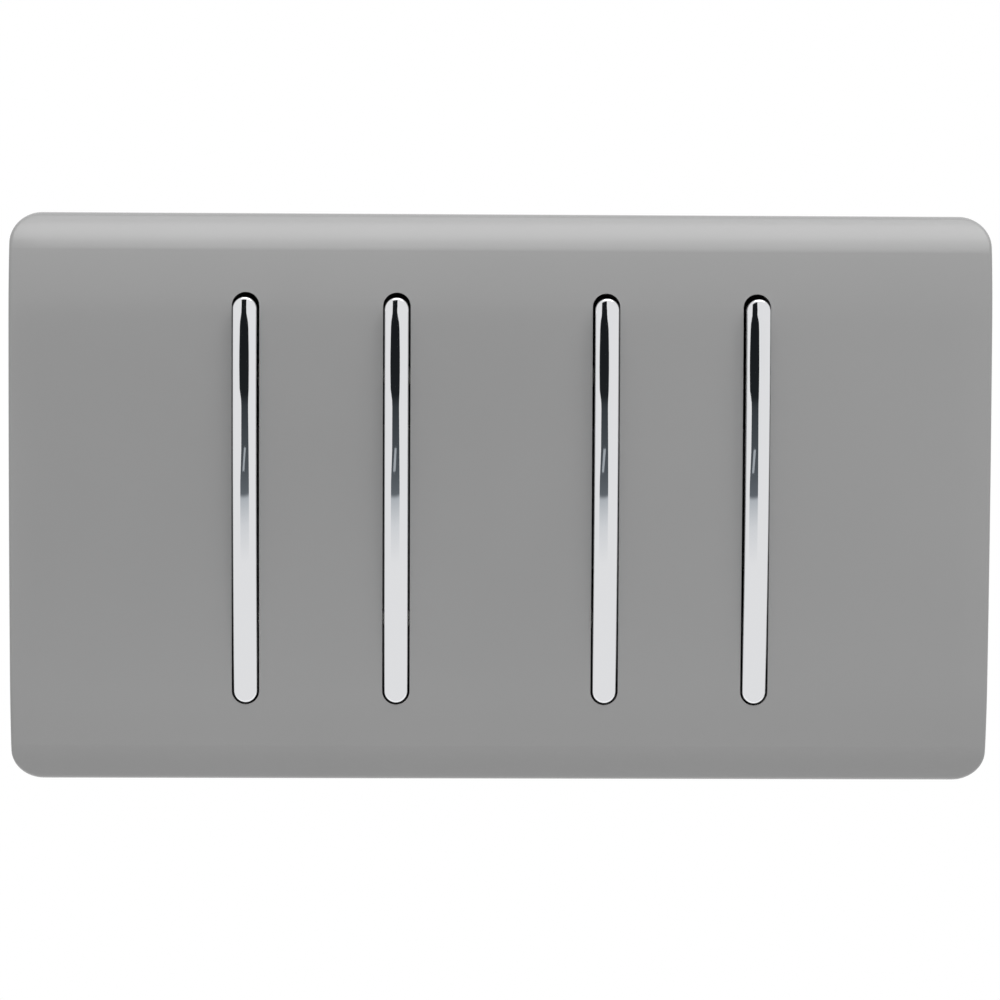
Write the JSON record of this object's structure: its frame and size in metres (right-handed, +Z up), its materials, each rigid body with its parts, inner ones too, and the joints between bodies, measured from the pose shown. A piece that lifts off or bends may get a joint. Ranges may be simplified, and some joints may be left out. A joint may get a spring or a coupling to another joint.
{
  "type": "rocker light switch",
  "caption": "Double wall switch plate with slim chrome rocker keys in long slots, on a hidden mounting frame with switch modules behind it.",
  "frame": {"origin": "centre of the plate on the wall face, midway between the two fixing screws", "axes": "+X to the right along the plate's long side, +Y into the wall, +Z up; the front faces -Y"},
  "size_m": [0.148, 0.0352, 0.086],
  "materials": {
    "cover_gloss": "gloss grey moulding",
    "key_chrome": "bright chrome plating",
    "frame_moulding": "fine matt moulding",
    "rocker_moulding": "satin moulding",
    "module_moulding": "satin off-white moulding",
    "plunger_nylon": "natural nylon",
    "spring_steel": "bright drawn wire",
    "screw_steel": "zinc plated",
    "terminal_brass": "machined brass",
    "contact_copper": "rolled copper alloy",
    "contact_silver": "silver contact face"
  },
  "bodies": {
    "chassis": {"front_plate": "cover_gloss", "mounting_frame": "frame_moulding", "fixing_screws": "screw_steel", "module_screws": "screw_steel", "fixed_contacts": "contact_silver", "earth_terminal": "terminal_brass", "earth_screw": "screw_steel", "module_cap_1": "module_moulding", "module_housing_1": "module_moulding", "common_terminal_1": "terminal_brass", "line_terminal_upper_1": "terminal_brass", "line_terminal_lower_1": "terminal_brass", "terminal_screws_1": "screw_steel", "module_cap_2": "module_moulding", "module_housing_2": "module_moulding", "common_terminal_2": "terminal_brass", "line_terminal_upper_2": "terminal_brass", "line_terminal_lower_2": "terminal_brass", "terminal_screws_2": "screw_steel", "module_cap_3": "module_moulding", "module_housing_3": "module_moulding", "common_terminal_3": "terminal_brass", "line_terminal_upper_3": "terminal_brass", "line_terminal_lower_3": "terminal_brass", "terminal_screws_3": "screw_steel", "module_cap_4": "module_moulding", "module_housing_4": "module_moulding", "common_terminal_4": "terminal_brass", "line_terminal_upper_4": "terminal_brass", "line_terminal_lower_4": "terminal_brass", "terminal_screws_4": "screw_steel"},
    "rocker_1": {"rocker_key_1": "key_chrome", "rocker_cradle_1": "rocker_moulding", "plunger_spring_1": "spring_steel"},
    "plunger_1": {"plunger_1": "plunger_nylon"},
    "seesaw_1": {"contact_blade_1": "contact_copper", "moving_contacts_1": "contact_silver"},
    "rocker_2": {"rocker_key_2": "key_chrome", "rocker_cradle_2": "rocker_moulding", "plunger_spring_2": "spring_steel"},
    "plunger_2": {"plunger_2": "plunger_nylon"},
    "seesaw_2": {"contact_blade_2": "contact_copper", "moving_contacts_2": "contact_silver"},
    "rocker_3": {"rocker_key_3": "key_chrome", "rocker_cradle_3": "rocker_moulding", "plunger_spring_3": "spring_steel"},
    "plunger_3": {"plunger_3": "plunger_nylon"},
    "seesaw_3": {"contact_blade_3": "contact_copper", "moving_contacts_3": "contact_silver"},
    "rocker_4": {"rocker_key_4": "key_chrome", "rocker_cradle_4": "rocker_moulding", "plunger_spring_4": "spring_steel"},
    "plunger_4": {"plunger_4": "plunger_nylon"},
    "seesaw_4": {"contact_blade_4": "contact_copper", "moving_contacts_4": "contact_silver"}
  },
  "joints": [
    {"name": "rocker_1_rock", "type": "hinge", "parent": "chassis", "child": "rocker_1", "pos_m": [-0.03845, -0.0058, 0], "axis": [-1, 0, 0], "range_deg": [0, 5]},
    {"name": "plunger_1_slide", "type": "slide", "parent": "rocker_1", "child": "plunger_1", "axis": [0, -0.999, -0.0436], "range_m": [0, 0.0008], "stiffness_N_per_m": 200, "deforming": ["plunger_spring_1"]},
    {"name": "seesaw_1_tip", "type": "hinge", "parent": "chassis", "child": "seesaw_1", "pos_m": [-0.03845, 0.0114, 0], "axis": [1, 0, 0], "range_deg": [0, 12]},
    {"name": "rocker_2_rock", "type": "hinge", "parent": "chassis", "child": "rocker_2", "pos_m": [-0.01575, -0.0058, 0], "axis": [-1, 0, 0], "range_deg": [0, 5]},
    {"name": "plunger_2_slide", "type": "slide", "parent": "rocker_2", "child": "plunger_2", "axis": [0, -0.999, -0.0436], "range_m": [0, 0.0008], "stiffness_N_per_m": 200, "deforming": ["plunger_spring_2"]},
    {"name": "seesaw_2_tip", "type": "hinge", "parent": "chassis", "child": "seesaw_2", "pos_m": [-0.01575, 0.0114, 0], "axis": [1, 0, 0], "range_deg": [0, 12]},
    {"name": "rocker_3_rock", "type": "hinge", "parent": "chassis", "child": "rocker_3", "pos_m": [0.01575, -0.0058, 0], "axis": [-1, 0, 0], "range_deg": [0, 5]},
    {"name": "plunger_3_slide", "type": "slide", "parent": "rocker_3", "child": "plunger_3", "axis": [0, -0.999, -0.0436], "range_m": [0, 0.0008], "stiffness_N_per_m": 200, "deforming": ["plunger_spring_3"]},
    {"name": "seesaw_3_tip", "type": "hinge", "parent": "chassis", "child": "seesaw_3", "pos_m": [0.01575, 0.0114, 0], "axis": [1, 0, 0], "range_deg": [0, 12]},
    {"name": "rocker_4_rock", "type": "hinge", "parent": "chassis", "child": "rocker_4", "pos_m": [0.03845, -0.0058, 0], "axis": [-1, 0, 0], "range_deg": [0, 5]},
    {"name": "plunger_4_slide", "type": "slide", "parent": "rocker_4", "child": "plunger_4", "axis": [0, -0.999, -0.0436], "range_m": [0, 0.0008], "stiffness_N_per_m": 200, "deforming": ["plunger_spring_4"]},
    {"name": "seesaw_4_tip", "type": "hinge", "parent": "chassis", "child": "seesaw_4", "pos_m": [0.03845, 0.0114, 0], "axis": [1, 0, 0], "range_deg": [0, 12]}
  ],
  "couplings": [
    {"joint": "seesaw_1_tip", "follows": "rocker_1_rock", "ratio": 2.4},
    {"joint": "seesaw_2_tip", "follows": "rocker_2_rock", "ratio": 2.4},
    {"joint": "seesaw_3_tip", "follows": "rocker_3_rock", "ratio": 2.4},
    {"joint": "seesaw_4_tip", "follows": "rocker_4_rock", "ratio": 2.4}
  ]
}
